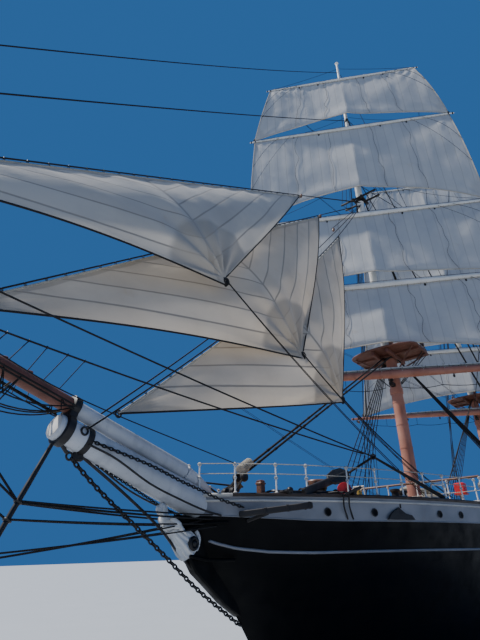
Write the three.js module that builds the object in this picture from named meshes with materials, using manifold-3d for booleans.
// Tall ship: an iron three-masted barque of the 1860s, afloat, as a 1:10 scale model.
// +X points to the bow, +Y to port, +Z up. The origin lies on the waterline below the main mast.
// All sizes are metres of the full-size ship. METRE turns them into millimetres of the model.
import * as THREE from 'three';
import { mergeVertices } from 'three/addons/utils/BufferGeometryUtils.js';
import Module from 'manifold-3d';

const wasm = await Module();
wasm.setup();

// Driving dimensions
const METRE = 100;
const GAP = 0.004;
const DECK = 3.8;
const RAIL = 5.05;
const KEEL = -4.2;
const FORECASTLE_BREAK = 24.5;
const POOP_BREAK = -13.5;
const BULWARK_THICKNESS = 0.16;
const RAKE = THREE.MathUtils.degToRad(1.53);
const BRACE = THREE.MathUtils.degToRad(29.1);
const LOWER_MAST_SETBACK = 0.58;
const SAIL_THICKNESS = 0.06;
const STAY_RADIUS = 0.035;
const SPAR_SIDES = 16;

// Outline of the hull at each height:
// z, bow x, stern x, half breadth, entrance length, run length, bow power, stern power
const WATERLINES = [
  [KEEL, 30.2, -28.3, 0.22, 3, 3, 1.0, 1.0],
  [-4.05, 30.5, -28.3, 2.4, 24, 28, 1.6, 1.8],
  [-3.5, 30.9, -28.3, 4.2, 24, 27, 1.4, 1.7],
  [-2.5, 31.2, -28.3, 5.0, 23, 26, 1.25, 1.5],
  [-1.2, 31.35, -28.3, 5.28, 22, 24, 1.12, 1.3],
  [0, 31.5, -28.3, 5.35, 21, 22, 1.02, 1.1],
  [0.9, 31.9, -28.3, 5.37, 20, 20, 0.98, 0.9],
  [1.5, 32.3, -29.6, 5.37, 19.5, 18, 0.95, 0.68],
  [2.5, 33.1, -30.7, 5.36, 19, 16, 0.9, 0.56],
  [DECK, 34.3, -31.5, 5.32, 18, 14, 0.84, 0.5],
  [RAIL, 34.75, -31.9, 5.26, 17, 13, 0.78, 0.48],
];
const PLAN_POWER = 2.3;
const SIDE_STEPS = 26;

// Bowsprit and jibboom: a point on each axis at the cap, and the slope of both
const CAP_X = 38.6;
const BOWSPRIT_CAP_Z = 6.15;
const SPRIT_SLOPE = 0.287;
const BOWSPRIT_RADIUS = 0.33;
const BOWSPRIT_HEEL_RADIUS = 0.4;
const JIBBOOM_RADIUS = 0.2;
const JIBBOOM_TIP_RADIUS = 0.12;
const BOWSPRIT_HEEL_X = 32.6;
const JIBBOOM_HEEL_X = 34.9;
const JIBBOOM_TIP_X = 47.9;

// Masts. Heights are above the main deck, x is the yards' common axis at deck level.
const FORE = {
  name: 'fore', x: 19.1, foot: 0, top: 10.1, cap: 13.3, crosstrees: 21.85, upperCap: 23.7, truck: 37.15,
  lowerRadius: 0.34, topmastRadius: 0.23, poleRadius: 0.16, truckRadius: 0.07,
};
const MAIN = {
  name: 'main', x: 0, foot: 0, top: 11.75, cap: 15.1, crosstrees: 23.3, upperCap: 25.5, truck: 39.2,
  lowerRadius: 0.36, topmastRadius: 0.24, poleRadius: 0.16, truckRadius: 0.07,
};
const MIZZEN = {
  name: 'mizzen', x: -17.6, foot: RAIL - DECK, top: 13.4, cap: 15.6, truck: 31.5,
  lowerRadius: 0.28, topmastRadius: 0.17, truckRadius: 0.06,
};

// Yards: name, height above deck on the foremast, on the main mast, half length, middle radius,
// tip radius, distance ahead of the axis
const YARDS = [
  ['lower_yard', 8.58, 10.3, 10.6, 0.24, 0.11, 0.7],
  ['lower_topsail_yard', 14.4, 16.15, 9.3, 0.19, 0.09, 0.66],
  ['upper_topsail_yard', 20.06, 21.9, 8.15, 0.17, 0.08, 0.53],
  ['topgallant_yard', 28.48, 30.4, 7.55, 0.14, 0.07, 0.5],
  ['royal_yard', 34.29, 36.3, 6.05, 0.11, 0.05, 0.45],
];

// Square sails: name, yard it hangs from, yard it is sheeted to, head half width, foot half width,
// rise of the foot's middle, belly
const SQUARE_SAILS = [
  ['lower_topsail', 1, 0, 8.7, 9.5, 1.42, 0.55],
  ['upper_topsail', 2, 1, 7.6, 8.6, 0.4, 0.5],
  ['topgallant', 3, 2, 7.15, 7.75, 1.75, 0.7],
  ['royal', 4, 3, 5.7, 7.15, 0.76, 0.4],
];

// Jibs and their stays: name, stay foot x, stay head height above deck, stay sag to port and down,
// tack and head as shares of the stay from its foot, clew x, y and z
const HEAD_SAILS = [
  ['outer_jib', 46.0, 21.55, 0, 0, 0.03, 0.68, 35.0, 1.5, 10.65],
  ['inner_jib', 41.77, 21.3, 0, 0, 0.04, 0.705, 31.0, 1.5, 9.6],
  ['fore_topmast_staysail', 37.9, 21.2, 0.4, 0.5, 0.05, 0.715, 28.45, 1.5, 8.6],
];
const STAY_PARTS = 4;

// Colours of the finished ship
const PAINT = {
  hull: [0x14161a, 0.45, 0.0],
  band: [0xd9dce0, 0.55, 0.0],
  deck: [0xb08a5c, 0.8, 0.0],
  redSpar: [0xa5654c, 0.6, 0.0],
  whiteSpar: [0xe6e4de, 0.55, 0.0],
  iron: [0x1b1c1e, 0.5, 0.6],
  cloth: [0xe4dfd2, 0.9, 0.0],
  rope: [0x231f1c, 0.85, 0.0],
  varnish: [0x7a4626, 0.45, 0.0],
};

const ship = new THREE.Group();

// Turns a closed geometry into a manifold solid
function solidOf(geometry) {
  const bare = geometry.clone();
  bare.deleteAttribute('normal');
  bare.deleteAttribute('uv');
  const merged = mergeVertices(bare, 1e-5);
  const mesh = new wasm.Mesh({
    numProp: 3,
    vertProperties: new Float32Array(merged.attributes.position.array),
    triVerts: new Uint32Array(merged.index.array),
  });
  return new wasm.Manifold(mesh);
}

// Turns a manifold solid back into a geometry
function geometryOf(solid) {
  const mesh = solid.getMesh();
  const geometry = new THREE.BufferGeometry();
  geometry.setAttribute('position', new THREE.BufferAttribute(new Float32Array(mesh.vertProperties), 3));
  geometry.setIndex(new THREE.BufferAttribute(new Uint32Array(mesh.triVerts), 1));
  return geometry;
}

function join(...geometries) {
  return geometryOf(geometries.map(solidOf).reduce((whole, next) => whole.add(next)));
}

function cut(geometry, ...tools) {
  return geometryOf(tools.map(solidOf).reduce((rest, tool) => rest.subtract(tool), solidOf(geometry)));
}

function keepInside(geometry, tool) {
  return geometryOf(solidOf(geometry).intersect(solidOf(tool)));
}

// Adds one named piece to a group, scaled from ship metres to model millimetres
function piece(parent, name, geometry, paint) {
  const sized = geometry.clone().scale(METRE, METRE, METRE);
  sized.computeVertexNormals();
  const [color, roughness, metalness] = PAINT[paint];
  const mesh = new THREE.Mesh(sized, new THREE.MeshStandardMaterial({ color, roughness, metalness }));
  mesh.name = name;
  parent.add(mesh);
}

// A box given by its two corners
function block(x0, y0, z0, x1, y1, z1) {
  return new THREE.BoxGeometry(x1 - x0, y1 - y0, z1 - z0)
    .translate((x0 + x1) / 2, (y0 + y1) / 2, (z0 + z1) / 2);
}

// A round bar between two points, tapering from one radius to another
function rod(from, to, radius, endRadius = radius, sides = SPAR_SIDES) {
  const a = new THREE.Vector3(...from);
  const b = new THREE.Vector3(...to);
  const along = b.clone().sub(a);
  const geometry = new THREE.CylinderGeometry(endRadius, radius, along.length(), sides);
  const turn = new THREE.Quaternion().setFromUnitVectors(new THREE.Vector3(0, 1, 0), along.clone().normalize());
  return geometry.applyQuaternion(turn).translate(...a.add(b).multiplyScalar(0.5).toArray());
}

// A solid of revolution about Z from rows of radius and height, closed on the axis
function turned(rows, sides = SPAR_SIDES) {
  const points = rows.map(([radius, height]) => new THREE.Vector2(radius, height));
  return new THREE.LatheGeometry(points, sides).rotateX(Math.PI / 2);
}

// Builds a closed geometry from loops of points that have the same count and mirror about y = 0
function loft(loops) {
  const count = loops[0].length;
  const half = count / 2;
  const positions = loops.flat().flatMap((point) => point);
  const index = [];
  for (let level = 0; level + 1 < loops.length; level += 1) {
    for (let k = 0; k < count; k += 1) {
      const a = level * count + k;
      const b = level * count + (k + 1) % count;
      index.push(a, a + count, b, b, a + count, b + count);
    }
  }
  const top = (loops.length - 1) * count;
  for (let k = 0; k < half; k += 1) {
    const port = [k, k + 1];
    const starboard = [(count - k) % count, (count - k - 1) % count];
    const corners = [[port[0], port[1], starboard[1]], [port[0], starboard[1], starboard[0]]];
    for (const [a, b, c] of corners) {
      if (a === b || b === c || a === c) continue;
      index.push(a, b, c);
      index.push(top + a, top + c, top + b);
    }
  }
  const geometry = new THREE.BufferGeometry();
  geometry.setAttribute('position', new THREE.Float32BufferAttribute(positions, 3));
  geometry.setIndex(index);
  return geometry;
}

// The row of hull outline values at a height, read between the rows of the table
function outlineAt(z) {
  const last = WATERLINES.length - 2;
  let low = 0;
  while (low < last && z > WATERLINES[low + 1][0]) low += 1;
  const [a, b] = [WATERLINES[low], WATERLINES[low + 1]];
  const share = (z - a[0]) / (b[0] - a[0]);
  return a.map((value, column) => value + (b[column] - value) * share);
}

function halfBreadth(x, z) {
  const [, bow, stern, breadth, entrance, run, bowPower, sternPower] = outlineAt(z);
  const ahead = Math.min(1, Math.max(0, (bow - x) / entrance));
  const behind = Math.min(1, Math.max(0, (x - stern) / run));
  const front = (1 - (1 - ahead) ** PLAN_POWER) ** bowPower;
  const back = (1 - (1 - behind) ** PLAN_POWER) ** sternPower;
  return breadth * front * back;
}

// One loop of the hull's outline: stern point, port side, bow point, starboard side
function hullLoop(z, inset = 0) {
  const [, bow, stern] = outlineAt(z);
  const port = [];
  for (let k = 0; k <= SIDE_STEPS; k += 1) {
    const share = (1 - Math.cos(Math.PI * k / SIDE_STEPS)) / 2;
    const x = stern + (bow - stern) * share;
    port.push([x, k % SIDE_STEPS ? Math.max(0.02, halfBreadth(x, z) - inset) : 0, z]);
  }
  const starboard = port.slice(1, -1).reverse().map(([x, y]) => [x, -y, z]);
  return [...port, ...starboard];
}

function hullSlice(heights, inset = 0) {
  return loft(heights.map((z) => hullLoop(z, inset)));
}

// Heights of the bowsprit's and the jibboom's axes at a given x
const SPRIT_TILT = Math.atan(SPRIT_SLOPE);
const JIBBOOM_LIFT = (BOWSPRIT_RADIUS + JIBBOOM_RADIUS + GAP) / Math.cos(SPRIT_TILT);
const bowspritZ = (x) => BOWSPRIT_CAP_Z + (x - CAP_X) * SPRIT_SLOPE;
const jibboomZ = (x) => bowspritZ(x) + JIBBOOM_LIFT;
const HEEL_DROP = (BOWSPRIT_HEEL_RADIUS - BOWSPRIT_RADIUS) / Math.cos(SPRIT_TILT);
function bowspritBar(growth = 0) {
  const [heel, end] = [BOWSPRIT_HEEL_X - growth, CAP_X + 0.15 + growth];
  return rod(
    [heel, 0, bowspritZ(heel) - HEEL_DROP], [end, 0, bowspritZ(end)],
    BOWSPRIT_HEEL_RADIUS + growth, BOWSPRIT_RADIUS + growth,
  );
}
const jibboomBar = (growth = 0) => rod(
  [JIBBOOM_HEEL_X, 0, jibboomZ(JIBBOOM_HEEL_X)], [JIBBOOM_TIP_X, 0, jibboomZ(JIBBOOM_TIP_X)],
  JIBBOOM_RADIUS + growth, JIBBOOM_TIP_RADIUS + growth,
);

// Hull with its sternpost and hatch coamings
function buildHull() {
  const shell = hullSlice(WATERLINES.slice(0, -1).map((row) => row[0]));
  const sternpost = block(-28.41, -0.15, KEEL, -28.0, 0.15, 0.8);
  // hatch: aft x, forward x, half width
  const hatches = [[20.6, 22.8, 1.2], [2.4, 6.2, 1.7], [-9.6, -6.6, 1.5]];
  const coamings = hatches.map(([aft, fore, half]) => block(aft, -half, DECK - 0.2, fore, half, DECK + 0.75));
  piece(ship, 'hull', join(shell, sternpost, headKnee(), ...coamings), 'hull');
}

// Knee of the head, which carries the figurehead on its flat top
const KNEE_TOP = DECK - 0.01;
function headKnee() {
  const outline = new THREE.Shape();
  outline.moveTo(33.0, 2.45);
  outline.lineTo(34.0, 2.95);
  outline.lineTo(34.9, 3.6);
  outline.lineTo(34.75, KNEE_TOP);
  outline.lineTo(33.4, KNEE_TOP);
  return new THREE.ExtrudeGeometry(outline, { depth: 0.26, bevelEnabled: false })
    .rotateX(Math.PI / 2).translate(0, 0.13, 0);
}

// Raised decks and the bulwarks between them
function buildUpperWorks() {
  const slab = hullSlice([DECK + GAP, RAIL]);
  const far = 60;
  const ahead = block(FORECASTLE_BREAK, -far, 0, far, far, far);
  const astern = block(-far, -far, 0, POOP_BREAK, far, far);
  const catheads = [1, -1].map((side) => rod([33.5, side * 1.0, 4.62], [33.1, side * 3.0, 5.0], 0.13, 0.16, 4));
  const forecastle = cut(join(keepInside(slab, ahead), ...catheads), bowspritBar(GAP));
  piece(ship, 'forecastle', forecastle, 'deck');
  const skylight = block(-22.6, -1.1, RAIL - 0.1, -20.2, 1.1, RAIL + 0.7);
  piece(ship, 'poop', join(keepInside(slab, astern), skylight), 'deck');
  const inner = hullSlice([DECK - 1, RAIL + 0.1], BULWARK_THICKNESS);
  const wall = cut(slab, inner);
  const between = { aft: POOP_BREAK + GAP, fore: FORECASTLE_BREAK - GAP };
  piece(ship, 'bulwark_port', keepInside(wall, block(between.aft, 0, 0, between.fore, far, far)), 'band');
  piece(ship, 'bulwark_starboard', keepInside(wall, block(between.aft, -far, 0, between.fore, 0, far)), 'band');
}

// Rudder with its round stock against the sternpost
const RUDDER_X = -28.565;
function buildRudder() {
  const stock = rod([RUDDER_X, 0, -4.0], [RUDDER_X, 0, 0.75], 0.15);
  const outline = new THREE.Shape();
  outline.moveTo(RUDDER_X, -4.0);
  outline.lineTo(RUDDER_X - 1.35, -3.9);
  outline.lineTo(RUDDER_X - 1.45, -2.4);
  outline.lineTo(RUDDER_X - 0.95, 0.1);
  outline.lineTo(RUDDER_X, 0.5);
  const blade = new THREE.ExtrudeGeometry(outline, { depth: 0.16, bevelEnabled: false })
    .rotateX(Math.PI / 2).translate(0, 0.08, 0);
  piece(ship, 'rudder', join(stock, blade), 'hull');
}

// Figurehead: a plain robed figure under the bowsprit
function buildFigurehead() {
  const body = turned([[0, 0], [0.2, 0], [0.24, 0.35], [0.17, 0.75], [0.24, 1.0], [0.08, 1.15], [0, 1.15]], 12);
  const head = new THREE.SphereGeometry(0.13, 12, 8).translate(0, 0, 1.27);
  const figure = join(body, head).rotateY(0.73).translate(34.58, 0, 3.66);
  piece(ship, 'figurehead', cut(figure, block(30, -2, 0, 40, 2, KNEE_TOP + GAP)), 'whiteSpar');
}

// Bowsprit, its cap, the jibboom and the dolphin striker
function buildSprit() {
  piece(ship, 'bowsprit', bowspritBar(), 'whiteSpar');
  piece(ship, 'jibboom', jibboomBar(), 'redSpar');
  const start = CAP_X - 0.35;
  const ring = (growth) => rod([start, 0, bowspritZ(start)], [CAP_X, 0, bowspritZ(CAP_X)], BOWSPRIT_RADIUS + growth);
  const upper = (growth) => rod([start, 0, jibboomZ(start)], [CAP_X, 0, jibboomZ(CAP_X)], JIBBOOM_RADIUS + growth);
  const cap = cut(join(ring(0.07), upper(0.08)), bowspritBar(GAP), jibboomBar(GAP));
  piece(ship, 'bowsprit_cap', cap, 'iron');
  const top = bowspritZ(CAP_X - 0.17) - (BOWSPRIT_RADIUS + 0.07) / Math.cos(SPRIT_TILT);
  const striker = rod([CAP_X - 0.2, 0, top + 0.06], [CAP_X + 1.35, 0, top - 2.75], 0.075, 0.045, 12);
  piece(ship, 'dolphin_striker', cut(striker, ring(0.07 + GAP)), 'iron');
}

// Mast frame: its Z runs up the raked mast from the deck
function mastFrame(mast) {
  const frame = new THREE.Group();
  frame.position.set(mast.x * METRE, 0, DECK * METRE);
  frame.rotation.y = -RAKE;
  ship.add(frame);
  return frame;
}

// Radius of the upper mast at a height above deck
function upperRadius(mast, height) {
  if (height <= mast.upperCap) return mast.topmastRadius;
  const share = (height - mast.upperCap) / (mast.truck - mast.upperCap);
  return mast.poleRadius + (mast.truckRadius - mast.poleRadius) * share;
}

// D-shaped platform at the head of a lower mast
function topPlatform(ahead, aft, half, z) {
  const outline = new THREE.Shape();
  outline.moveTo(aft, -half);
  outline.lineTo(aft, half);
  outline.lineTo(ahead * 0.35, half);
  outline.quadraticCurveTo(ahead, half * 0.8, ahead, 0);
  outline.quadraticCurveTo(ahead, -half * 0.8, ahead * 0.35, -half);
  return new THREE.ExtrudeGeometry(outline, { depth: 0.1, bevelEnabled: false, curveSegments: 6 })
    .translate(0, 0, z - 0.1);
}

const BOSS_RADIUS = 0.07;
const collarHole = (radius) => radius / Math.cos(Math.PI / SPAR_SIDES) + GAP;

function buildSquareMast(mast, frame) {
  const back = -LOWER_MAST_SETBACK;
  const heel = mast.foot + GAP + (mast.lowerRadius - back) * Math.sin(RAKE);
  const pole = rod([back, 0, heel], [back, 0, mast.cap], mast.lowerRadius, mast.lowerRadius * 0.85);
  const platform = topPlatform(1.15, back - 1.0, 1.9, mast.top);
  const cap = block(back - 0.3, -0.35, mast.cap - 0.35, 0.4, 0.35, mast.cap - 0.02);
  const hole = rod([0, 0, mast.cap - 1], [0, 0, mast.cap + 1], collarHole(mast.topmastRadius));
  const yardHeight = YARDS[0][mast === FORE ? 1 : 2];
  const bracket = block(back, -0.12, yardHeight - 0.42, 0.09, 0.12, yardHeight - 0.18);
  const pin = rod([0, 0, yardHeight - 0.4], [0, 0, yardHeight + 0.22], BOSS_RADIUS);
  const lower = join(cut(join(pole, platform, cap), hole), bracket, pin);
  piece(frame, `${mast.name}_lower_mast`, lower, 'redSpar');
  const topmast = turned([
    [0, mast.top + GAP], [mast.topmastRadius, mast.top + GAP], [mast.topmastRadius, mast.upperCap],
    [mast.poleRadius, mast.upperCap], [mast.truckRadius, mast.truck - 0.08],
    [mast.truckRadius + 0.06, mast.truck - 0.08], [mast.truckRadius + 0.06, mast.truck], [0, mast.truck],
  ]);
  const arms = [0.3, -0.35].map((x) => block(x - 0.06, -1.3, mast.crosstrees - 0.1, x + 0.06, 1.3, mast.crosstrees));
  const trestles = [0.3, -0.3].map((y) => block(-0.6, y - 0.06, mast.crosstrees - 0.2, 0.5, y + 0.06, mast.crosstrees - 0.05));
  const cleat = block(-0.3, -0.3, mast.crosstrees - 0.24, 0.3, 0.3, mast.crosstrees - 0.08);
  piece(frame, `${mast.name}_upper_mast`, join(topmast, ...arms, ...trestles, cleat), 'whiteSpar');
}

// Reverses a closed geometry's triangles where they face inwards
function facingOut(geometry) {
  const corners = geometry.toNonIndexed().attributes.position;
  const [a, b, c] = [0, 1, 2].map(() => new THREE.Vector3());
  let volume = 0;
  for (let k = 0; k < corners.count; k += 3) {
    [a, b, c].forEach((corner, step) => corner.fromBufferAttribute(corners, k + step));
    volume += a.dot(b.cross(c));
  }
  if (volume < 0) geometry.index.array.reverse();
  return geometry;
}

// A closed sheet of cloth: a grid of points thickened along one direction
function cloth(rows, direction) {
  const offset = direction.map((value) => value * SAIL_THICKNESS / 2);
  const across = rows[0].length;
  const down = rows.length;
  const side = (sign) => rows.flat().map(([x, y, z]) => [x + sign * offset[0], y + sign * offset[1], z + sign * offset[2]]);
  const positions = [...side(1), ...side(-1)].flat();
  const back = across * down;
  const index = [];
  const quad = (a, b, c, d) => index.push(a, b, c, a, c, d);
  for (let i = 0; i + 1 < down; i += 1) {
    for (let j = 0; j + 1 < across; j += 1) {
      const a = i * across + j;
      quad(a, a + across, a + across + 1, a + 1);
      quad(back + a, back + a + 1, back + a + across + 1, back + a + across);
    }
  }
  const rim = [];
  for (let j = 0; j + 1 < across; j += 1) rim.push(j);
  for (let i = 0; i + 1 < down; i += 1) rim.push(i * across + across - 1);
  for (let j = across - 1; j > 0; j -= 1) rim.push((down - 1) * across + j);
  for (let i = down - 1; i > 0; i -= 1) rim.push(i * across);
  rim.forEach((a, k) => {
    const b = rim[(k + 1) % rim.length];
    quad(a, b, back + b, back + a);
  });
  const geometry = new THREE.BufferGeometry();
  geometry.setAttribute('position', new THREE.Float32BufferAttribute(positions, 3));
  geometry.setIndex(index);
  return facingOut(geometry);
}

// A closed round sleeve along Y from rings of y, centre x, centre z and radius
function sleeve(rings, sides = 10) {
  const positions = rings.flatMap(([y, x, z, radius]) => Array.from({ length: sides }, (_, k) => {
    const angle = 2 * Math.PI * k / sides;
    return [x + radius * Math.cos(angle), y, z + radius * Math.sin(angle)];
  })).flat();
  const index = [];
  for (let level = 0; level + 1 < rings.length; level += 1) {
    for (let k = 0; k < sides; k += 1) {
      const [a, b] = [level * sides + k, level * sides + (k + 1) % sides];
      index.push(a, a + sides, b, b, a + sides, b + sides);
    }
  }
  const last = (rings.length - 1) * sides;
  for (let k = 1; k + 1 < sides; k += 1) index.push(0, k, k + 1, last, last + k + 1, last + k);
  const geometry = new THREE.BufferGeometry();
  geometry.setAttribute('position', new THREE.Float32BufferAttribute(positions, 3));
  geometry.setIndex(index);
  return facingOut(geometry);
}

const yardRadius = (yard, y) => yard[4] + (yard[5] - yard[4]) * Math.min(1, Math.abs(y) / yard[3]);

// Course furled along the top of its yard: half length, radius at the middle, share lost at the ends,
// and how far aft of straight up it lies, clear of the stay
const COURSE = { half: 8.8, radius: 0.1, taper: 0.5, lean: THREE.MathUtils.degToRad(15), steps: 16 };
function furledCourse(yard, z) {
  const rings = [];
  for (let k = 0; k <= COURSE.steps; k += 1) {
    const share = 2 * k / COURSE.steps - 1;
    const y = COURSE.half * share;
    const radius = COURSE.radius * (1 - COURSE.taper * share * share);
    const lift = yardRadius(yard, y) + radius + GAP;
    rings.push([y, yard[6] - lift * Math.sin(COURSE.lean), z + lift * Math.cos(COURSE.lean), radius]);
  }
  return sleeve(rings);
}

function buildYards(mast, frame) {
  const column = mast === FORE ? 1 : 2;
  const braced = new THREE.Group();
  braced.rotation.z = BRACE;
  frame.add(braced);
  YARDS.forEach((yard, order) => {
    const [name, , , half, radius, tipRadius, ahead] = yard;
    const z = yard[column];
    const spar = turned([[0, -half], [tipRadius, -half], [radius, 0], [tipRadius, half], [0, half]], 12)
      .rotateX(-Math.PI / 2).translate(ahead, 0, z);
    const bore = order === 0 ? BOSS_RADIUS : upperRadius(mast, z - 0.2);
    const wall = order === 0 ? 0.035 : 0.06;
    const collar = rod([0, 0, z - 0.15], [0, 0, z + 0.15], collarHole(bore) + wall);
    const arm = block(0, -0.09, z - radius * 0.7, ahead, 0.09, z + radius * 0.7);
    const bored = cut(join(spar, collar, arm), rod([0, 0, z - 1], [0, 0, z + 1], collarHole(bore)));
    piece(braced, `${mast.name}_${name}`, bored, order === 0 ? 'redSpar' : 'whiteSpar');
  });
  piece(braced, `${mast.name}_course`, furledCourse(YARDS[0], YARDS[0][column]), 'cloth');
  SQUARE_SAILS.forEach(([name, upper, lower, headHalf, footHalf, rise, belly]) => {
    const [from, to] = [YARDS[upper], YARDS[lower]];
    const rows = [];
    const [acrossSteps, downSteps] = [12, 8];
    for (let i = 0; i <= downSteps; i += 1) {
      const v = i / downSteps;
      const row = [];
      for (let j = 0; j <= acrossSteps; j += 1) {
        const u = 2 * j / acrossSteps - 1;
        const y = u * (headHalf + (footHalf - headHalf) * v);
        const head = from[column] - yardRadius(from, u * headHalf) - GAP;
        const foot = to[column] + yardRadius(to, u * footHalf) + GAP + rise * (1 - u * u);
        const x = from[6] + (to[6] - from[6]) * v + belly * Math.sin(Math.PI * v * 0.75) * (1 - u ** 2);
        row.push([x, y, head + (foot - head) * v]);
      }
      rows.push(row);
    }
    piece(braced, `${mast.name}_${name}`, cloth(rows, [1, 0, 0]), 'cloth');
  });
}

// A point of a mast's frame in ship coordinates
function onMast(mast, x, z) {
  return [mast.x + x * Math.cos(RAKE) - z * Math.sin(RAKE), 0, DECK + x * Math.sin(RAKE) + z * Math.cos(RAKE)];
}

// A mast's outer surface as a bar in ship coordinates, grown by the running gap
function mastBar(mast, x, radius, from, to) {
  return rod(onMast(mast, x, from), onMast(mast, x, to), radius + GAP);
}

const between = (a, b, share) => a.map((value, axis) => value + (b[axis] - value) * share);

function buildHeadRig() {
  const stopper = mastBar(FORE, 0, FORE.topmastRadius, FORE.top, FORE.upperCap);
  for (const [name, footX, headZ, sagPort, sagDown, tackShare, headShare, ...clew] of HEAD_SAILS) {
    const foot = [footX, 0, jibboomZ(footX)];
    const head = onMast(FORE, 0, headZ);
    const onStay = (share) => {
      const [x, y, z] = between(foot, head, share);
      const hang = 4 * share * (1 - share);
      return [x, y + sagPort * hang, z - sagDown * hang];
    };
    const parts = sagDown ? STAY_PARTS : 1;
    const rods = Array.from({ length: parts }, (_, k) => (
      rod(onStay(k / parts), onStay((k + 1) / parts), STAY_RADIUS, STAY_RADIUS, 8)
    ));
    piece(ship, `${name}_stay`, cut(join(...rods), stopper, jibboomBar(GAP)), 'rope');
    const rows = [];
    const [luffSteps, clewSteps] = [12, 8];
    const drop = STAY_RADIUS + GAP;
    const slant = Math.hypot(head[0] - foot[0], head[2] - foot[2]);
    const below = [-(head[2] - foot[2]) / slant * drop, 0, -(foot[0] - head[0]) / slant * drop];
    for (let i = 0; i <= clewSteps; i += 1) {
      const inward = i / clewSteps;
      const row = [];
      for (let j = 0; j <= luffSteps; j += 1) {
        const share = j / luffSteps;
        const luff = onStay(tackShare + (headShare - tackShare) * share);
        const spread = 0.3 * (share - 0.5);
        const corner = [clew[0] - spread * 0.3, clew[1], clew[2] + spread];
        const point = between(luff, corner, inward);
        const bulge = 1.6 * Math.sin(Math.PI * inward) * Math.sin(Math.PI * (0.12 + 0.76 * share)) * (1 - inward * 0.4);
        row.push([point[0] + below[0], point[1] + bulge * 0.45, point[2] + below[2]]);
      }
      rows.push(row);
    }
    piece(ship, name, cloth(rows, [0, 1, 0]), 'cloth');
  }
}

// Standing stays: name, mast, x and height of the head on it, foot point
function buildStays() {
  const foreFoot = onMast(FORE, 0, 0.6);
  const stays = [
    ['forestay', FORE, -LOWER_MAST_SETBACK, 10.1, [32.2, 0, RAIL + 0.02]],
    ['fore_topgallant_stay', FORE, 0, 29.75, [46.6, 0, jibboomZ(46.6)]],
    ['fore_royal_stay', FORE, 0, 35.7, [47.4, 0, jibboomZ(47.4)]],
    ['main_stay', MAIN, -LOWER_MAST_SETBACK, 11.8, [foreFoot[0] - 1.6, 0, DECK + 0.02]],
    ['main_topmast_stay', MAIN, 0, 23.75, onMast(FORE, -LOWER_MAST_SETBACK, 11.7)],
    ['mizzen_stay', MIZZEN, 0, 13.0, [1.2 - 3.2, 0, DECK + 0.02]],
  ];
  const stoppers = [
    mastBar(FORE, -LOWER_MAST_SETBACK, FORE.lowerRadius, 0, FORE.cap),
    mastBar(FORE, 0, FORE.topmastRadius, FORE.top, FORE.upperCap),
    mastBar(FORE, 0, FORE.poleRadius, FORE.upperCap, FORE.truck),
    mastBar(MAIN, -LOWER_MAST_SETBACK, MAIN.lowerRadius, 0, MAIN.cap),
    mastBar(MAIN, 0, MAIN.topmastRadius, MAIN.top, MAIN.upperCap),
    mastBar(MIZZEN, 0, MIZZEN.lowerRadius, 0, MIZZEN.cap),
    jibboomBar(GAP),
    block(-30, -5, 0, FORECASTLE_BREAK, 5, DECK + GAP),
    block(FORECASTLE_BREAK, -5, 0, 40, 5, RAIL + GAP),
  ];
  for (const [name, mast, x, height, foot] of stays) {
    piece(ship, name, cut(rod(onMast(mast, x, height), foot, STAY_RADIUS, STAY_RADIUS, 8), ...stoppers), 'rope');
  }
}

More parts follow.
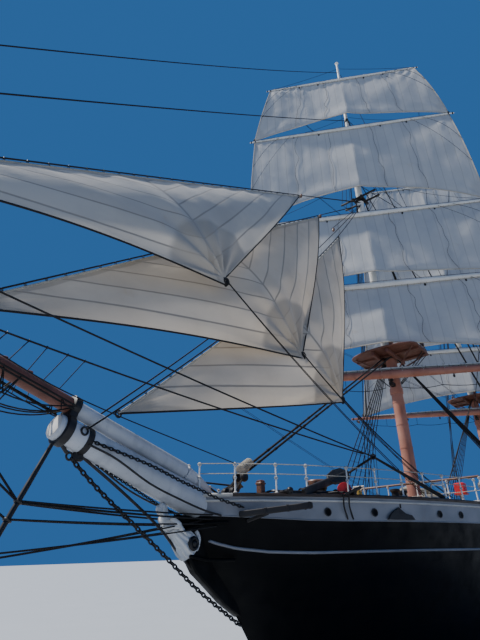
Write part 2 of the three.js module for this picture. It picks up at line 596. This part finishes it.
// Mizzen mast, with the spanker's boom, gaff and sail swung about it
const SPANKER_SWING = THREE.MathUtils.degToRad(8);
function buildMizzen() {
  const frame = mastFrame(MIZZEN);
  const heel = MIZZEN.foot + GAP + MIZZEN.lowerRadius * Math.sin(RAKE);
  const lower = rod([0, 0, heel], [0, 0, MIZZEN.top], MIZZEN.lowerRadius, MIZZEN.lowerRadius);
  const platform = topPlatform(0.9, -0.9, 1.3, MIZZEN.top);
  piece(frame, 'mizzen_lower_mast', join(lower, platform), 'redSpar');
  const upper = turned([
    [0, MIZZEN.top + GAP], [MIZZEN.topmastRadius, MIZZEN.top + GAP], [MIZZEN.truckRadius, MIZZEN.truck - 0.08],
    [MIZZEN.truckRadius + 0.06, MIZZEN.truck - 0.08], [MIZZEN.truckRadius + 0.06, MIZZEN.truck],
    [0, MIZZEN.truck],
  ]);
  piece(frame, 'mizzen_upper_mast', upper, 'whiteSpar');
  const swung = new THREE.Group();
  swung.rotation.z = -SPANKER_SWING;
  frame.add(swung);
  const hole = rod([0, 0, 0], [0, 0, MIZZEN.truck], collarHole(MIZZEN.lowerRadius));
  const collar = (z) => rod([0, 0, z - 0.16], [0, 0, z + 0.16], collarHole(MIZZEN.lowerRadius) + 0.07);
  const [boomZ, gaffZ] = [3.9, 11.2];
  // length aft, rise over that length, radius at the mast, radius at the end
  const spars = { boom: [14.2, 0.5, 0.19, 0.12], gaff: [8.6, 6.2, 0.15, 0.09] };
  const [boom, gaff] = [[spars.boom, boomZ], [spars.gaff, gaffZ]].map(([[reach, rise, radius, tip], z]) => (
    rod([0, 0, z], [-reach, 0, z + rise], radius, tip, 12)
  ));
  const edge = ([reach, rise, radius, tip], z, aft, side) => {
    const thickness = radius + (tip - radius) * aft / reach + GAP;
    return z + rise * aft / reach + side * thickness * Math.hypot(reach, rise) / reach;
  };
  piece(swung, 'spanker_boom', cut(join(boom, collar(boomZ)), hole), 'redSpar');
  piece(swung, 'spanker_gaff', cut(join(gaff, collar(gaffZ)), hole), 'redSpar');
  const rows = [];
  const [along, up] = [10, 10];
  for (let i = 0; i <= up; i += 1) {
    const v = i / up;
    const row = [];
    for (let j = 0; j <= along; j += 1) {
      const u = j / along;
      const luff = collarHole(MIZZEN.lowerRadius) + 0.12;
      const footAft = luff + (13.4 - luff) * u;
      const headAft = luff + (8.2 - luff) * u;
      const foot = [-footAft, 0, edge(spars.boom, boomZ, footAft, 1) + 0.5 * Math.sin(Math.PI * u)];
      const head = [-headAft, 0, edge(spars.gaff, gaffZ, headAft, -1)];
      const point = between(foot, head, v);
      row.push([point[0], 0.7 * Math.sin(Math.PI * u) * Math.sin(Math.PI * v), point[2]]);
    }
    rows.push(row);
  }
  piece(swung, 'spanker', cloth(rows, [0, 1, 0]), 'cloth');
}

// Ship's boat: an open-topped hull form with its cover on
function boatShape(length, half, depth) {
  const loops = [0, 0.45, 1].map((share) => {
    const breadth = half * (0.25 + 0.75 * Math.sqrt(share));
    const reach = length / 2 * (0.86 + 0.14 * share);
    const port = [];
    for (let k = 0; k <= 12; k += 1) {
      const x = -reach * Math.cos(Math.PI * k / 12);
      port.push([x, k % 12 ? breadth * (1 - (x / reach) ** 2) ** 0.7 + 0.01 : 0, depth * share]);
    }
    return [...port, ...port.slice(1, -1).reverse().map(([x, y, z]) => [x, -y, z])];
  });
  return loft(loops);
}

// Anchors stowed on the forecastle's edge: crown, ring, tips of the flat and of the upright arm
const ANCHOR = {
  crown: [30.75, 2.25], ring: [33.0, 1.25], flatTip: [31.35, 2.95], upTip: [31.2, 1.95], upRise: 0.85, arm: 0.11,
};
function buildDeckGear() {
  const house = block(7.2, -2.1, DECK + GAP, 13.2, 2.1, DECK + 2.25);
  const skids = [8.6, 11.9].map((x) => block(x - 0.1, -3.4, DECK + 2.2, x + 0.1, 3.4, DECK + 2.45));
  piece(ship, 'deckhouse', join(house, ...skids), 'whiteSpar');
  for (const [name, side] of [['boat_port', 1], ['boat_starboard', -1]]) {
    const boat = boatShape(6.6, 0.85, 0.85).translate(10.25, side * 2.4, DECK + 2.45 + GAP);
    piece(ship, name, boat, 'whiteSpar');
  }
  const capstan = turned([[0, 0], [0.42, 0], [0.42, 0.12], [0.24, 0.3], [0.24, 0.6], [0.4, 0.78], [0.4, 0.98], [0, 1.02]]);
  piece(ship, 'capstan', capstan.translate(28.2, 0, RAIL + GAP), 'iron');
  for (const [name, side] of [['anchor_port', 1], ['anchor_starboard', -1]]) {
    const z = RAIL + ANCHOR.arm + GAP;
    const at = ([x, y], rise = 0) => [x, side * y, z + rise];
    const crown = at(ANCHOR.crown);
    const shank = rod(crown, at(ANCHOR.ring), 0.1, 0.075, 8);
    const arms = [at(ANCHOR.flatTip), at(ANCHOR.upTip, ANCHOR.upRise)].map((tip) => rod(crown, tip, ANCHOR.arm, 0.06, 8));
    const ringEnd = between(at(ANCHOR.ring), crown, 0.12);
    const stock = rod([ringEnd[0] - 0.3, ringEnd[1] - side * 0.6, z], [ringEnd[0] + 0.25, ringEnd[1] + side * 0.5, z], 0.06, 0.06, 8);
    piece(ship, name, join(shank, stock, ...arms), 'iron');
  }
}

// Steering wheel on its box near the stern
const WHEEL = { x: -27.6, z: RAIL + 1.15, radius: 0.72 };
function buildWheel() {
  const box = block(WHEEL.x - 1.2, -0.5, RAIL + GAP, WHEEL.x - 0.25, 0.5, RAIL + 1.2);
  const shaft = rod([WHEEL.x - 0.6, 0, WHEEL.z], [WHEEL.x + 0.2, 0, WHEEL.z], 0.06);
  piece(ship, 'wheel_box', join(box, shaft), 'varnish');
  const rim = new THREE.TorusGeometry(WHEEL.radius, 0.045, 8, 24).rotateY(Math.PI / 2);
  const hub = rod([-0.12, 0, 0], [0.12, 0, 0], 0.15);
  const spokes = [0, 1, 2, 3].map((k) => {
    const angle = Math.PI * k / 4;
    const tip = [0, Math.cos(angle) * 0.95, Math.sin(angle) * 0.95];
    return rod(tip.map((value) => -value), tip, 0.03, 0.03, 8);
  });
  const wheel = cut(join(rim, hub, ...spokes), rod([-1, 0, 0], [1, 0, 0], collarHole(0.06)));
  piece(ship, 'steering_wheel', wheel.translate(WHEEL.x, 0, WHEEL.z), 'varnish');
}

buildHull();
buildUpperWorks();
buildRudder();
buildFigurehead();
buildSprit();
for (const mast of [FORE, MAIN]) {
  const frame = mastFrame(mast);
  buildSquareMast(mast, frame);
  buildYards(mast, frame);
}
buildMizzen();
buildHeadRig();
buildStays();
buildDeckGear();
buildWheel();

export default ship;
